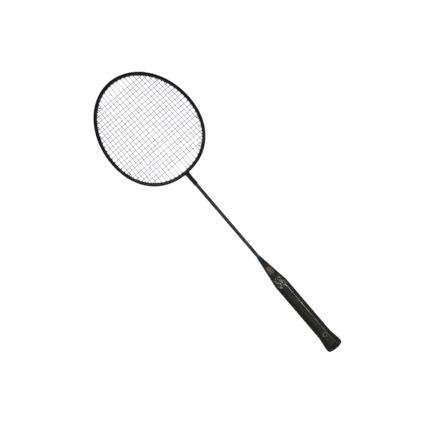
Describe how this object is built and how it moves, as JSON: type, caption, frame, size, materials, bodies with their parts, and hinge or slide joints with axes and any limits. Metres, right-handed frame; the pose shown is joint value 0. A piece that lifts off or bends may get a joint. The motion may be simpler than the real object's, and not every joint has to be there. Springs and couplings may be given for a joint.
{
  "type": "badminton racket",
  "caption": "Badminton racket with an oval strung head, slim shaft, tapered cone, octagonal grip and flared butt.",
  "frame": {"origin": "middle of the butt cap's flat end face, on the racket's long axis and in the mid plane of the string bed", "axes": "+X along the shaft from the butt to the tip of the head, +Y across the head to its left side, +Z square to the string bed, up when the racket lies flat"},
  "size_m": [0.665, 0.1964, 0.033],
  "materials": {
    "frame_paint": "gloss black paint on aluminium tube",
    "shaft_finish": "clear-coated black shaft",
    "cone_plastic": "semi-gloss moulded black",
    "core_wood": "planed beech",
    "cushion_foam": "thin foam wrap",
    "grip": "pebbled synthetic leather",
    "collar": "matt moulded band",
    "cap": "satin moulded rubber",
    "string": "multifilament nylon",
    "grommet": "moulded nylon"
  },
  "bodies": {
    "root": {"head_frame": "frame_paint", "t_joint": "frame_paint", "shaft": "shaft_finish", "cone": "cone_plastic", "handle_core": "core_wood", "grip_cushion": "cushion_foam", "grip_sleeve": "grip", "grip_collar": "collar", "butt_cap": "cap", "main_string": "string", "cross_string": "string", "grommet_strip_left_1": "grommet", "grommet_strip_left_2": "grommet", "grommet_strip_left_3": "grommet", "grommet_strip_left_4": "grommet", "grommet_strip_left_5": "grommet", "grommet_strip_left_6": "grommet", "grommet_strip_left_7": "grommet", "grommet_strip_right_1": "grommet", "grommet_strip_right_2": "grommet", "grommet_strip_right_3": "grommet", "grommet_strip_right_4": "grommet", "grommet_strip_right_5": "grommet", "grommet_strip_right_6": "grommet", "grommet_strip_right_7": "grommet"}
  },
  "joints": []
}
